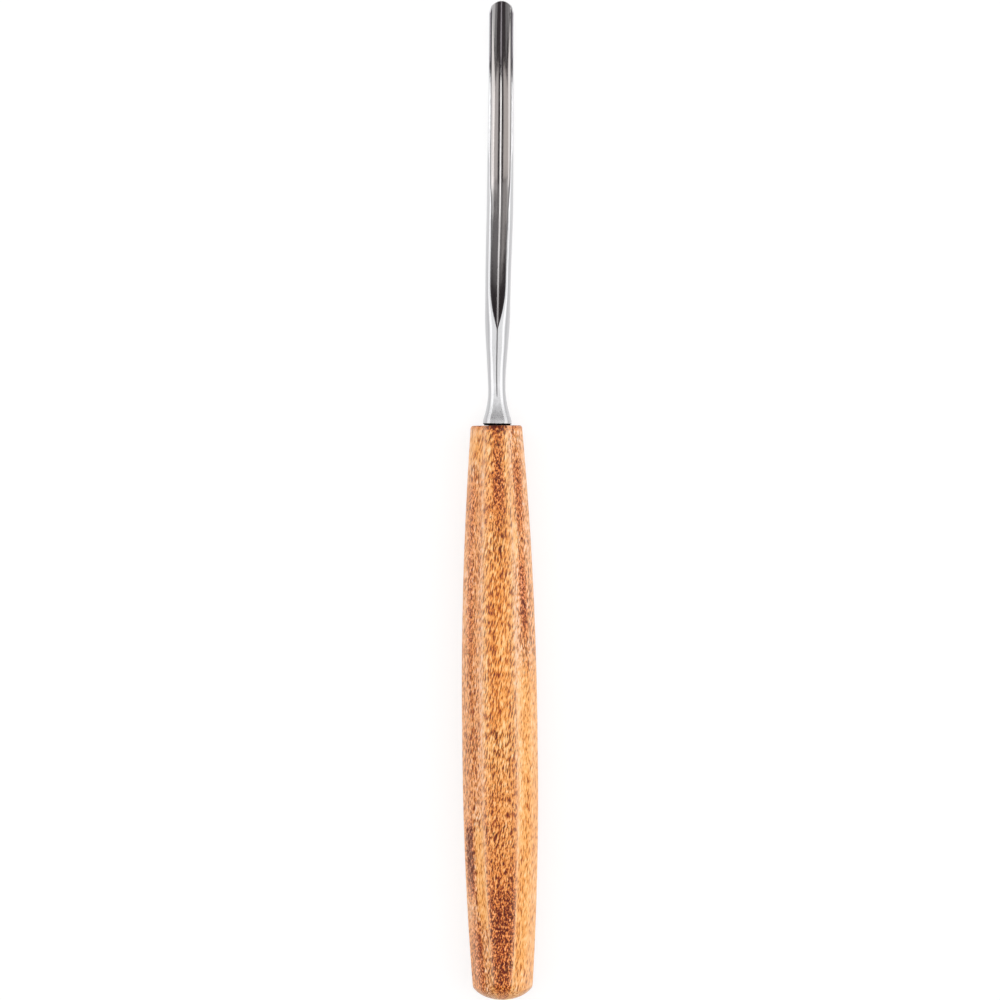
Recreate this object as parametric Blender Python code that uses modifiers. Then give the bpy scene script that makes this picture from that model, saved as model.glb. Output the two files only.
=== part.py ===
"""Bent carving gouge: a forged steel blade whose tang sits in an octagonal beech handle.

The tool lies on a bench with its flute up and its cutting edge towards +Y. The origin is the middle of the
flat land under the belly of the handle, and the bottom of the blade's bend hangs just clear of the bench.
Units are metres, +Z is up.
"""

import math

import bmesh
import bpy
from mathutils import Vector

# Handle: stations run from the front face to the butt, widths are across opposite flats
HANDLE_LENGTH = 0.161
BELLY_START = 0.084
BELLY_LAND = 0.010
FLAT_FRONT = 0.01434
FLAT_BELLY = 0.02114
FLAT_BUTT = 0.01622
CORNER_FRONT = 0.0147
CORNER_BELLY = 0.0220
CORNER_BUTT = 0.0146
FRONT_ROUND = 0.0007
DOME_RISE = 0.0062
TURNED_MARGIN = 0.0002

# Seat of the blade in the handle
SEAT_GAP = 0.0004
FIT_GAP = 0.0003
BLADE_OFFSET = 0.0003
BLADE_LEAN = math.radians(1.2)
TANG_LENGTH = 0.060
TANG_ROOT = 0.0050
TANG_END = 0.0022
TANG_CHAMFER = 0.00015
TANG_SQUARENESS = 8.0

# Line of the blade, seen from the side
BLADE_REACH = 0.1174
CRANK_LENGTH = 0.010
NECK_ANGLE = math.radians(7.5)
BEND_RADIUS = 0.105
TIP_ANGLE = math.radians(27.0)

# Sections of the blade: heights are above and below its spine
BOLSTER_WIDTH = 0.0080
BOLSTER_CHAMFER = 0.0019
FLARE_LENGTH = 0.0090
NECK_WIDTH = 0.0048
NECK_CHAMFER = 0.0013
SWELL_LENGTH = 0.023
BODY_WIDTH = 0.0069
BODY_DEPTH = 0.0024
BODY_CHAMFER = 0.00015
RIM_HEIGHT = 0.0002
RIM_FALL = 0.045

# Flute and cutting edge
FLUTE_START = 0.0264
FLUTE_RUNOUT = 0.0115
FLUTE_SWEEP = math.radians(60.0)
ROOT_WALL = 0.0014
EDGE_WALL = 0.00085
BEVEL_LENGTH = 0.0034
EDGE_THICKNESS = 0.00012
EDGE_CHAMFER = 0.00003
NOSE_LEAN = math.radians(25.0)

# Fineness of the faceted surfaces
FRONT_STEPS = 14
REAR_STEPS = 12
ROUND_STEPS = 3
DOME_STEPS = 7
TURN_STEPS = 64
FLARE_STEPS = 5
BLADE_STEP = 0.003
RUNOUT_STEP = 0.001
RUNOUT_LEAD = 0.003
SECTION_STEPS = 16
OVERSHOOT = 0.004
WELD = 1e-6
SHARP_ANGLE = math.radians(25.0)

STEEL = (0.60, 0.60, 0.62, 1.0)
BEECH = (0.60, 0.33, 0.14, 1.0)


def clear_scene():
    """Remove every object, so that the model is alone in the file."""
    for item in list(bpy.data.objects):
        bpy.data.objects.remove(item, do_unlink=True)


def new_collection(name):
    """Add a collection to the scene."""
    collection = bpy.data.collections.new(name)
    bpy.context.scene.collection.children.link(collection)
    return collection


def new_material(name, color, metallic, roughness):
    """Add a Principled material."""
    material = bpy.data.materials.new(name)
    material.use_nodes = True
    shader = material.node_tree.nodes["Principled BSDF"]
    shader.inputs["Base Color"].default_value = color
    shader.inputs["Metallic"].default_value = metallic
    shader.inputs["Roughness"].default_value = roughness
    return material


def new_empty(name, collection, location, parent=None):
    """Add an empty that carries pieces."""
    empty = bpy.data.objects.new(name, None)
    empty.location = location
    empty.parent = parent
    collection.objects.link(empty)
    return empty


def new_object(name, mesh, collection, parent):
    """Add a mesh object under a parent."""
    item = bpy.data.objects.new(name, mesh)
    item.parent = parent
    collection.objects.link(item)
    return item


def as_cutter(item):
    """Show a cutter as wire and keep it out of the finished model."""
    item.hide_render = True
    item.display_type = "WIRE"
    return item


def add_boolean(item, operation, cutter):
    """Cut or trim an object with another."""
    modifier = item.modifiers.new(cutter.name, "BOOLEAN")
    modifier.operation = operation
    modifier.object = cutter


def barrel(station, front, belly, butt):
    """Width at a station: a bulge that swells to the straight land at the belly and falls to the butt."""
    belly_end = BELLY_START + BELLY_LAND
    if station < BELLY_START:
        return belly - (belly - front) * (1.0 - station / BELLY_START) ** 2
    if station > belly_end:
        return belly - (belly - butt) * ((station - belly_end) / (HANDLE_LENGTH - belly_end)) ** 2
    return belly


def flat_half(station):
    """Distance from the axis to a main flat."""
    return 0.5 * barrel(station, FLAT_FRONT, FLAT_BELLY, FLAT_BUTT)


def corner_half(station):
    """Distance from the axis to a corner flat."""
    return 0.5 * barrel(station, CORNER_FRONT, CORNER_BELLY, CORNER_BUTT)


def arris_radius(station):
    """Distance from the axis to the edge between a main flat and a corner flat."""
    flat = flat_half(station)
    half_side = min(math.sqrt(2.0) * corner_half(station) - flat, flat)
    return math.hypot(flat, half_side)


def handle_stations():
    """Stations along the handle, with the straight land as one step."""
    belly_end = BELLY_START + BELLY_LAND
    rear = HANDLE_LENGTH - belly_end
    front_stations = [BELLY_START * k / FRONT_STEPS for k in range(FRONT_STEPS + 1)]
    rear_stations = [belly_end + rear * k / REAR_STEPS for k in range(REAR_STEPS + 1)]
    return front_stations + rear_stations


def flat_profile(half_width):
    """Half outline of one pair of flats, as (half width, station), running past both ends."""
    shoulder = half_width(FRONT_ROUND) - FRONT_ROUND
    points = [(shoulder, -OVERSHOOT)]
    for k in range(ROUND_STEPS + 1):
        angle = 0.5 * math.pi * k / ROUND_STEPS
        points.append((shoulder + FRONT_ROUND * math.sin(angle), FRONT_ROUND * (1.0 - math.cos(angle))))
    points += [(half_width(s), s) for s in handle_stations() if s > FRONT_ROUND]
    points.append((half_width(HANDLE_LENGTH), HANDLE_LENGTH + OVERSHOOT))
    return points


def flats_cutter(name, half_width, turn, collection, parent):
    """Slab with the outline of one pair of opposite flats, turned about the handle's axis."""
    right = flat_profile(half_width)
    outline = [(x, -s) for x, s in right] + [(-x, -s) for x, s in reversed(right)]
    curve = bpy.data.curves.new(name, "CURVE")
    curve.dimensions = "2D"
    curve.fill_mode = "BOTH"
    curve.extrude = FLAT_BELLY
    spline = curve.splines.new("POLY")
    spline.points.add(len(outline) - 1)
    for point, (x, y) in zip(spline.points, outline):
        point.co = (x, y, 0.0, 1.0)
    spline.use_cyclic_u = True
    spline.use_smooth = False
    drawn = new_object(name + "_outline", curve, collection, parent)
    mesh = bpy.data.meshes.new_from_object(drawn.evaluated_get(bpy.context.evaluated_depsgraph_get()))
    bpy.data.objects.remove(drawn, do_unlink=True)
    weld(mesh)
    slab = new_object(name, mesh, collection, parent)
    slab.rotation_euler = (0.0, turn, 0.0)
    return as_cutter(slab)


def weld(mesh):
    """Join the loose caps of a mesh made from a curve and point its faces outwards."""
    shape = bmesh.new()
    shape.from_mesh(mesh)
    bmesh.ops.remove_doubles(shape, verts=shape.verts, dist=WELD)
    bmesh.ops.recalc_face_normals(shape, faces=shape.faces)
    shape.to_mesh(mesh)
    shape.free()


def turned_blank(name, collection, parent):
    """Turned blank that stands just proud of the arrises and ends in the domed butt."""
    dome_start = HANDLE_LENGTH - DOME_RISE
    dome_radius = arris_radius(dome_start) + TURNED_MARGIN
    profile = [(0.0, 0.0), (arris_radius(0.0) + TURNED_MARGIN, 0.0)]
    profile += [(arris_radius(s) + TURNED_MARGIN, s) for s in handle_stations() if 0.0 < s < dome_start]
    for k in range(DOME_STEPS + 1):
        angle = 0.5 * math.pi * k / DOME_STEPS
        profile.append((dome_radius * math.cos(angle), dome_start + DOME_RISE * math.sin(angle)))
    profile[-1] = (0.0, HANDLE_LENGTH)
    mesh = bpy.data.meshes.new(name)
    edges = [(k, k + 1) for k in range(len(profile) - 1)]
    mesh.from_pydata([(x, 0.0, -s) for x, s in profile], edges, [])
    blank = new_object(name, mesh, collection, parent)
    blank.rotation_euler = (-0.5 * math.pi, 0.0, 0.0)
    screw = blank.modifiers.new("turned", "SCREW")
    screw.steps = TURN_STEPS
    screw.render_steps = TURN_STEPS
    screw.use_merge_vertices = True
    screw.merge_threshold = WELD
    return blank


def tang_hole(collection, parent):
    """Tapered square hole that takes the tang with a gap all round."""
    taper = 0.5 * (TANG_ROOT - TANG_END) / TANG_LENGTH
    bottom = TANG_LENGTH + FIT_GAP
    mouth_half = 0.5 * TANG_ROOT + FIT_GAP + taper * OVERSHOOT
    bottom_half = 0.5 * TANG_END + FIT_GAP - taper * FIT_GAP
    hole = bmesh.new()
    bmesh.ops.create_cone(
        hole,
        cap_ends=True,
        segments=4,
        radius1=bottom_half * math.sqrt(2.0),
        radius2=mouth_half * math.sqrt(2.0),
        depth=bottom + OVERSHOOT,
    )
    mesh = bpy.data.meshes.new("tang_hole")
    hole.to_mesh(mesh)
    hole.free()
    cutter = new_object("tang_hole", mesh, collection, parent)
    cutter.location = (0.0, 0.5 * (OVERSHOOT - bottom), 0.0)
    cutter.rotation_euler = (-0.5 * math.pi, 0.25 * math.pi, 0.0)
    return as_cutter(cutter)


def make_handle(parts, cutters, axis, seat):
    """Octagonal barrel: the turned blank trimmed to four pairs of flats and bored for the tang."""
    handle = turned_blank("handle", parts, axis)
    for k in range(4):
        half_width = corner_half if k % 2 else flat_half
        slab = flats_cutter("flats_%d" % k, half_width, 0.25 * math.pi * k, cutters, axis)
        add_boolean(handle, "INTERSECT", slab)
    add_boolean(handle, "DIFFERENCE", tang_hole(cutters, seat))
    handle.data.materials.append(new_material("stained_beech", BEECH, 0.0, 0.4))
    return handle


def spine_legs():
    """Legs of the blade's spine from the seat to the edge, as (length, turn) pairs."""
    crank_reach = CRANK_LENGTH * math.sin(NECK_ANGLE) / NECK_ANGLE
    bend_reach = BEND_RADIUS * (math.sin(NECK_ANGLE) + math.sin(TIP_ANGLE))
    straight = (BLADE_REACH - crank_reach - bend_reach) / math.cos(NECK_ANGLE)
    turn = NECK_ANGLE + TIP_ANGLE
    return [(CRANK_LENGTH, -NECK_ANGLE), (straight, 0.0), (BEND_RADIUS * turn, turn)]


def spine_length():
    """Length of the spine from the seat to the edge."""
    return sum(length for length, _ in spine_legs())


def spine(distance):
    """Place (y, z) and slope of the spine at a distance from the seat, straight past its ends."""
    y = z = slope = 0.0
    rest = distance
    for length, turn in spine_legs():
        run = max(0.0, min(rest, length))
        bent = turn * run / length
        chord = run * (math.sin(0.5 * bent) / (0.5 * bent) if bent else 1.0)
        y += chord * math.cos(slope + 0.5 * bent)
        z += chord * math.sin(slope + 0.5 * bent)
        slope += bent
        rest -= run
    return y + rest * math.cos(slope), z + rest * math.sin(slope), slope


def on_spine(section, distance, lean=0.0):
    """Stand a section of (x, height) points on the spine, leaned back but as high as upright."""
    y, z, slope = spine(distance)
    tilt = slope + lean
    back, up = math.sin(tilt) / math.cos(lean), math.cos(tilt) / math.cos(lean)
    return [Vector((x, y - height * back, z + height * up)) for x, height in section]


def ease(value):
    """Smooth step from 0 to 1."""
    value = min(max(value, 0.0), 1.0)
    return value * value * (3.0 - 2.0 * value)


def mix(first, second, share):
    """Value between two others."""
    return first + (second - first) * share


def bar_section(half, top, depth, chamfer):
    """Section with a chamfered flat top, upright sides and one round arc below."""
    reach = 2.0 * math.atan2(depth, half)
    radius = half / math.sin(reach)
    points = [(-half + chamfer, top), (half - chamfer, top), (half, top - chamfer)]
    for k in range(SECTION_STEPS + 1):
        angle = reach * (1.0 - 2.0 * k / SECTION_STEPS)
        points.append((radius * math.sin(angle), radius * (math.cos(reach) - math.cos(angle))))
    points.append((-half, top - chamfer))
    return points


def rim_height(distance):
    """Height of the blade's top above its spine."""
    return mix(0.5 * NECK_WIDTH, RIM_HEIGHT, ease((distance - FLARE_LENGTH) / RIM_FALL))


def body_section(distance):
    """Section of the blade between the bolster and the bevel."""
    flare = max(0.0, 1.0 - distance / FLARE_LENGTH) ** 2
    swell = ease((distance - FLARE_LENGTH) / SWELL_LENGTH)
    bolster_extra = 0.5 * (BOLSTER_WIDTH - NECK_WIDTH) * flare
    half = 0.5 * mix(NECK_WIDTH, BODY_WIDTH, swell) + bolster_extra
    depth = mix(0.5 * NECK_WIDTH, BODY_DEPTH, swell) + bolster_extra
    chamfer = mix(NECK_CHAMFER, BODY_CHAMFER, swell) + (BOLSTER_CHAMFER - NECK_CHAMFER) * flare
    return bar_section(half, rim_height(distance) + bolster_extra, depth, chamfer)


def flute_half(distance):
    """Half the flute's width at the rim once it has opened."""
    along = max(0.0, (distance - FLUTE_START) / (spine_length() - FLUTE_START))
    return 0.5 * BODY_WIDTH - mix(ROOT_WALL, EDGE_WALL, along)


def flute_radius():
    """Radius of the flute, the same all along, so that its walls reach the sweep's angle at the edge."""
    return flute_half(spine_length()) / math.sin(FLUTE_SWEEP)


def edge_section():
    """Section at the cutting edge: a thin skin around the flute."""
    half = flute_half(spine_length()) + EDGE_THICKNESS
    rim = rim_height(spine_length())
    depth = flute_radius() * (1.0 - math.cos(FLUTE_SWEEP)) - rim + EDGE_THICKNESS
    return bar_section(half, rim, depth, EDGE_CHAMFER)


def tang_section(width):
    """Square section of the tang with soft lower corners."""
    half = 0.5 * width
    points = [(-half + TANG_CHAMFER, half), (half - TANG_CHAMFER, half), (half, half - TANG_CHAMFER)]
    for k in range(SECTION_STEPS + 1):
        angle = math.pi * k / SECTION_STEPS
        across = abs(math.cos(angle)) ** (2.0 / TANG_SQUARENESS)
        down = abs(math.sin(angle)) ** (2.0 / TANG_SQUARENESS)
        points.append((math.copysign(half * across, math.cos(angle)), -half * down))
    points.append((-half, half - TANG_CHAMFER))
    return points


def spaced(start, end, step):
    """Even distances from start to end, no wider apart than a step."""
    count = max(1, math.ceil((end - start) / step))
    return [start + (end - start) * k / count for k in range(count + 1)]


def blade_rings():
    """Sections of the blade from the end of the tang to the cutting edge."""
    length = spine_length()
    heel = length - BEVEL_LENGTH
    rings = [on_spine(tang_section(TANG_END), -TANG_LENGTH), on_spine(tang_section(TANG_ROOT), 0.0)]
    flare = spaced(0.0, FLARE_LENGTH, FLARE_LENGTH / FLARE_STEPS)
    body = spaced(FLARE_LENGTH, heel - BLADE_STEP, BLADE_STEP)
    rings += [on_spine(body_section(d), d) for d in flare[:-1] + body]
    rings.append(on_spine(body_section(heel), heel, NOSE_LEAN))
    rings.append(on_spine(edge_section(), length, NOSE_LEAN))
    return rings


def flute_section(distance):
    """Round-bottomed channel that fades out in a point at its start and opens beyond the rim."""
    entry = (distance - FLUTE_START) / FLUTE_RUNOUT
    opened = 1.0 - (1.0 - min(entry, 1.0)) ** 2
    rim = rim_height(distance)
    radius = flute_radius()
    depth = -radius * entry * entry
    if entry > 0.0:
        half = flute_half(distance) * opened
        depth = radius - math.sqrt(radius * radius - half * half)
    middle = rim - depth + radius
    ceiling = middle + OVERSHOOT
    points = [(-radius, ceiling), (radius, ceiling)]
    for k in range(SECTION_STEPS + 1):
        angle = math.pi * k / SECTION_STEPS
        points.append((radius * math.cos(angle), middle - radius * math.sin(angle)))
    return points


def flute_cutter(collection, parent):
    """Channel swept along the spine, from just before its point to past the edge."""
    entry = spaced(FLUTE_START - RUNOUT_LEAD, FLUTE_START + FLUTE_RUNOUT, RUNOUT_STEP)
    along = spaced(FLUTE_START + FLUTE_RUNOUT, spine_length() + OVERSHOOT, BLADE_STEP)
    rings = [on_spine(flute_section(d), d) for d in entry[:-1] + along]
    return as_cutter(new_object("flute_cut", loft("flute_cut", rings), collection, parent))


def loft(name, rings):
    """Closed skin through sections with equal numbers of points."""
    shape = bmesh.new()
    rows = [[shape.verts.new(point) for point in ring] for ring in rings]
    for row, following in zip(rows, rows[1:]):
        for k in range(len(row)):
            shape.faces.new((row[k - 1], row[k], following[k], following[k - 1]))
    shape.faces.new(rows[0])
    shape.faces.new(rows[-1])
    bmesh.ops.recalc_face_normals(shape, faces=shape.faces)
    mesh = bpy.data.meshes.new(name)
    shape.to_mesh(mesh)
    shape.free()
    mesh.shade_smooth()
    mesh.set_sharp_from_angle(angle=SHARP_ANGLE)
    return mesh


def make_blade(parts, cutters, seat):
    """Forging: tang, bolster, neck and bent body, with the flute cut out of its top."""
    blade = new_object("gouge_blade", loft("gouge_blade", blade_rings()), parts, seat)
    add_boolean(blade, "DIFFERENCE", flute_cutter(cutters, seat))
    blade.data.materials.append(new_material("polished_steel", STEEL, 1.0, 0.25))
    return blade


def main():
    """Build the gouge on its bench."""
    clear_scene()
    parts = new_collection("bent_gouge")
    cutters = new_collection("bent_gouge_cutters")
    axis = new_empty("handle_axis", parts, (0.0, BELLY_START + 0.5 * BELLY_LAND, 0.5 * FLAT_BELLY))
    seat = new_empty("blade_seat", parts, (BLADE_OFFSET, SEAT_GAP, 0.0), axis)
    seat.rotation_euler = (0.0, 0.0, -BLADE_LEAN)
    make_handle(parts, cutters, axis, seat)
    make_blade(parts, cutters, seat)


main()
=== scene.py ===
"""Looks of the bent carving gouge: a polished steel blade in a stained and lacquered beech handle.

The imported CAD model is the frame. The handle starts as a turned and bored blank, which is planed to eight
flats. The blade starts as a round blank, which is forged to its sections along a bent spine and fluted.
All lengths are in metres, and +Y runs along the tool towards the cutting edge.
"""

import logging
import math
from dataclasses import dataclass
from enum import Enum

import bmesh
import bpy
from mathutils import Matrix, Vector


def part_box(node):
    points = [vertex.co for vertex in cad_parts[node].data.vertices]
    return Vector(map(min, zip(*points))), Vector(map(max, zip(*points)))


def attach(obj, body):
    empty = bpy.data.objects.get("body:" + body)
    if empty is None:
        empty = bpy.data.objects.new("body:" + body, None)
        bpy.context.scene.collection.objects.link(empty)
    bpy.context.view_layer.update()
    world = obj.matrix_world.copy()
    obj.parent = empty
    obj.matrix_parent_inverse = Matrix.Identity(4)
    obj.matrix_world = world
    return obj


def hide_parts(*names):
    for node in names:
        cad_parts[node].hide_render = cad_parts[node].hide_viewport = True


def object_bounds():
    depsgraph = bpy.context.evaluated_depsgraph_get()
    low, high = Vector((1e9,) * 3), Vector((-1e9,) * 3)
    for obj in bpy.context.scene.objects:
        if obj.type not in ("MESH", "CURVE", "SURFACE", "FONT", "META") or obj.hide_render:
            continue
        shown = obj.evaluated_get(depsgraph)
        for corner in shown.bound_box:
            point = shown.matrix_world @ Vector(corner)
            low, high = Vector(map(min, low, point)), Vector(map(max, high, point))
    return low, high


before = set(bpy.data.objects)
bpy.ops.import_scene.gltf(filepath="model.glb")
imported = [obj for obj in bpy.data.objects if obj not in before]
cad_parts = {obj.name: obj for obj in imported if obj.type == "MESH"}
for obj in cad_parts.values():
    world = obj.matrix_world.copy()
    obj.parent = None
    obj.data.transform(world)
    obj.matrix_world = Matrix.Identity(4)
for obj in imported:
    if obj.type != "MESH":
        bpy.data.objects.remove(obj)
CAD_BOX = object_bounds()

LOG = logging.getLogger("gouge")
FULL_TURN = 2.0 * math.pi
QUARTER_TURN = 0.5 * math.pi
MERGE_DISTANCE = 1e-7
ALONG = Vector((0.0, 1.0, 0.0))

Point = tuple[float, float]
Triple = tuple[float, float, float]
Colour = tuple[float, float, float, float]
Socket = bpy.types.NodeSocket


def mix(first: float, last: float, share: float) -> float:
    """Gives the value that lies at a share of the way from first to last."""
    return first + (last - first) * share


def ease(share: float) -> float:
    """Gives a share that starts and ends gently, held between 0 and 1."""
    held = max(0.0, min(1.0, share))
    return held * held * (3.0 - 2.0 * held)


def follow(stops: tuple[Point, ...], place: float) -> float:
    """Reads an eased curve through a few stops.

    Args:
        stops: Pairs of place and value, in rising order of place.
        place: Where to read the curve.

    Returns:
        The value there, held at the first and last stop's value outside them.
    """
    for (start, first), (end, last) in zip(stops, stops[1:]):
        if place <= end:
            return mix(first, last, ease((place - start) / (end - start)))
    return stops[-1][1]


def squared(half: float, angle: float, crispness: float) -> Point:
    """Gives a point of a square with soft corners.

    Args:
        half: Half the square's width.
        angle: The point's direction from the middle.
        crispness: How crisp the corners are.

    Returns:
        Its place across and its height.
    """
    across, up = math.cos(angle), math.sin(angle)
    radius = half * (abs(across) ** crispness + abs(up) ** crispness) ** (-1.0 / crispness)
    return radius * across, radius * up


def tone(red: int, green: int, blue: int) -> Colour:
    """Turns a colour on the usual 0 to 255 scale into the linear colour that shaders take."""
    shares = [level / 255.0 for level in (red, green, blue)]
    linear = [s / 12.92 if s <= 0.04045 else ((s + 0.055) / 1.055) ** 2.4 for s in shares]
    return linear[0], linear[1], linear[2], 1.0


class Slot(Enum):
    """The material slots."""

    STEEL = "blade_steel"
    WOOD = "handle_wood"


class Flat(Enum):
    """The handle's eight flats, by the direction that each faces, in degrees from +X towards +Z."""

    RIGHT = 0.0
    UPPER_RIGHT = 45.0
    TOP = 90.0
    UPPER_LEFT = 135.0
    LEFT = 180.0
    LOWER_LEFT = 225.0
    UNDER = 270.0
    LOWER_RIGHT = 315.0

    @property
    def angle(self) -> float:
        """The direction in radians."""
        return math.radians(self.value)

    @property
    def is_corner(self) -> bool:
        """Whether this is one of the four flats that plane the corners off."""
        return self.value % 90.0 != 0.0


class Facing(Enum):
    """Where a lamp panel faces: the floor, straight across the tool, or the tool itself."""

    DOWN = "down"
    ACROSS = "across"
    TOOL = "tool"


class Shader:
    """One node tree, with short calls for the nodes that the finishes use."""

    def __init__(self, owner: bpy.types.Material | bpy.types.World) -> None:
        """Starts an empty tree on a material or a world."""
        self.owner = owner
        owner.use_nodes = True
        self.tree = owner.node_tree
        self.tree.nodes.clear()

    def add(self, kind: str, *values: object, **settings: object) -> bpy.types.Node:
        """Adds a node.

        Args:
            kind: The node's type, without its ShaderNode prefix.
            *values: What its first sockets are linked or set to, in order.
            **settings: Properties of the node itself.

        Returns:
            The new node.
        """
        node = self.tree.nodes.new("ShaderNode" + kind)
        for key, value in settings.items():
            setattr(node, key, value)
        for target, value in zip(node.inputs, values):
            self.feed(target, value)
        return node

    def feed(self, target: Socket, source: object) -> None:
        """Links a socket to a target, or sets the target's own value."""
        if isinstance(source, bpy.types.NodeSocket):
            self.tree.links.new(source, target)
        else:
            target.default_value = source

    def place(self) -> Socket:
        """Gives the piece's Object coordinates."""
        return self.add("TexCoord").outputs["Object"]

    def attribute(self, name: str) -> Socket:
        """Gives a number that the mesh carries under that name."""
        return self.add("Attribute", attribute_name=name).outputs["Fac"]

    def vector(self, operation: str, *values: object) -> Socket:
        """Works out a sum of vectors, each a socket or three numbers."""
        return self.add("VectorMath", *values, operation=operation).outputs[0]

    def sum(self, operation: str, first: object, second: object, held: bool = False) -> Socket:
        """Works out a sum of two numbers, held between 0 and 1 where that is asked for."""
        return self.add("Math", first, second, operation=operation, use_clamp=held).outputs[0]

    def plus(self, first: object, second: object) -> Socket:
        """Adds two numbers."""
        return self.sum("ADD", first, second)

    def minus(self, first: object, second: object) -> Socket:
        """Takes the second number from the first."""
        return self.sum("SUBTRACT", first, second)

    def times(self, first: object, second: object) -> Socket:
        """Multiplies two numbers."""
        return self.sum("MULTIPLY", first, second)

    def most(self, first: object, second: object) -> Socket:
        """Gives the larger of two numbers."""
        return self.sum("MAXIMUM", first, second)

    def least(self, first: object, second: object) -> Socket:
        """Gives the smaller of two numbers."""
        return self.sum("MINIMUM", first, second)

    def noise(
        self, place: Socket, scale: Triple, detail: float = 2.0, roughness: float = 0.5, output: str = "Fac"
    ) -> Socket:
        """Adds cloudy noise.

        Args:
            place: The coordinates.
            scale: Cells per metre along X, Y and Z.
            detail: How many finer layers are added.
            roughness: How strong the finer layers are.
            output: Fac for a number, Color for three.

        Returns:
            The noise.
        """
        node = self.add("TexNoise")
        values = {"Vector": self.vector("MULTIPLY", place, scale), "Scale": 1.0, "Detail": detail}
        for key, value in (values | {"Roughness": roughness}).items():
            self.feed(node.inputs[key], value)
        return node.outputs[output]

    def span(self, value: Socket, low: float, high: float, first: float = 0.0, last: float = 1.0) -> Socket:
        """Maps a value's range from low to high smoothly onto first to last, and holds it between them."""
        return self.add("MapRange", value, low, high, first, last, interpolation_type="SMOOTHSTEP").outputs[0]

    def blend(self, share: object, first: object, second: object, kind: str = "MIX") -> Socket:
        """Blends two colours.

        Args:
            share: How much of the second colour is taken.
            first: A socket or a colour.
            second: A socket or a colour.
            kind: The blend type.

        Returns:
            The blended colour.
        """
        node = self.add("Mix", share, data_type="RGBA", blend_type=kind)
        # The colour sockets come after those for numbers and vectors.
        self.feed(node.inputs[6], first)
        self.feed(node.inputs[7], second)
        return node.outputs[2]

    def ramp(self, share: Socket, stops: tuple[tuple[float, Colour], ...]) -> Socket:
        """Colours a number by a ramp.

        Args:
            share: The number, from 0 to 1.
            stops: Places on the ramp with their colours.

        Returns:
            The colour.
        """
        node = self.add("ValToRGB", share)
        elements = node.color_ramp.elements
        while len(elements) < len(stops):
            elements.new(1.0)
        for element, (place, colour) in zip(elements, stops):
            element.position = place
            element.color = colour
        return node.outputs[0]

    def bump(self, height: Socket, strength: float, distance: float) -> Socket:
        """Turns a height into a bumped normal.

        Args:
            height: The height, from 0 to 1.
            strength: How much of it shows.
            distance: How high 1 stands.

        Returns:
            The normal.
        """
        node = self.add("Bump", strength, distance)
        self.feed(node.inputs["Height"], height)
        return node.outputs[0]

    def surface(self, **values: object) -> bpy.types.Material:
        """Ends the tree in one principled surface.

        Args:
            **values: The surface's sockets, with an underscore for each space, as sockets or values.

        Returns:
            The finished material.
        """
        body = self.add("BsdfPrincipled")
        for key, value in values.items():
            self.feed(body.inputs[key.replace("_", " ")], value)
        return self.shown(body.outputs[0])

    def shown(self, surface: Socket, output: str = "OutputMaterial") -> bpy.types.Material | bpy.types.World:
        """Links a surface to the output and gives what the tree belongs to."""
        self.feed(self.add(output).inputs["Surface"], surface)
        return self.owner


@dataclass(frozen=True)
class PolishedSteel:
    """Tool steel, ground and polished lengthwise, tinted and duller in places: darker towards the flute's
    root, and with painted shade on the side facets.
    """

    bare: Colour = (0.68, 0.68, 0.69, 1.0)
    tints: tuple[tuple[str, Colour], ...] = (
        ("flute", (0.71, 0.69, 0.685, 1.0)),
        ("root", (0.36, 0.34, 0.34, 1.0)),
        ("shoulder", (0.72, 0.72, 0.73, 1.0)),
        # Darker side facets: painted shade of their reflection.
        ("flank_shade", (0.46, 0.46, 0.475, 1.0)),
    )
    dullness: tuple[tuple[str, float], ...] = (("flute", 0.03), ("shoulder", 0.20), ("rim", 0.04))
    smoothest: float = 0.06
    dullest: float = 0.15
    lines: Triple = (5200.0, 70.0, 5200.0)
    clouds: Triple = (260.0, 60.0, 260.0)
    line_share: float = 0.6
    worked_range: Point = (0.3, 0.7)
    line_relief: Point = (0.10, 0.00002)

    def material(self) -> bpy.types.Material:
        """Builds the material."""
        shader = Shader(bpy.data.materials.new("polished_steel"))
        place = shader.place()
        lines = shader.noise(place, self.lines)
        clouds = shader.times(shader.noise(place, self.clouds), 1.0 - self.line_share)
        worked = shader.plus(shader.times(lines, self.line_share), clouds)
        colour: object = self.bare
        for name, tint in self.tints:
            colour = shader.blend(shader.attribute(name), colour, tint)
        roughness = shader.span(worked, *self.worked_range, self.smoothest, self.dullest)
        for name, extra in self.dullness:
            roughness = shader.plus(roughness, shader.times(shader.attribute(name), extra))
        return shader.surface(
            Base_Color=colour, Metallic=1.0, Roughness=roughness, Normal=shader.bump(lines, *self.line_relief)
        )


@dataclass(frozen=True)
class ScaleAndGapShade:
    """Near-black scale on the tang, and near-black in the recess under the bolster as painted shade of the
    gap there.
    """

    dark: Colour = (0.003, 0.003, 0.004, 1.0)
    grey: Colour = (0.018, 0.016, 0.015, 1.0)
    specks: Triple = (1500.0, 900.0, 1500.0)
    speck_layers: Point = (4.0, 0.6)
    speck_range: Point = (0.4, 0.75)
    relief: Point = (0.4, 0.0001)

    def material(self) -> bpy.types.Material:
        """Builds the material."""
        shader = Shader(bpy.data.materials.new("scale_and_gap_shade"))
        specks = shader.noise(shader.place(), self.specks, *self.speck_layers)
        return shader.surface(
            Base_Color=shader.blend(shader.span(specks, *self.speck_range), self.dark, self.grey),
            Roughness=0.95,
            Specular_IOR_Level=0.05,
            Normal=shader.bump(specks, *self.relief),
        )


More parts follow.
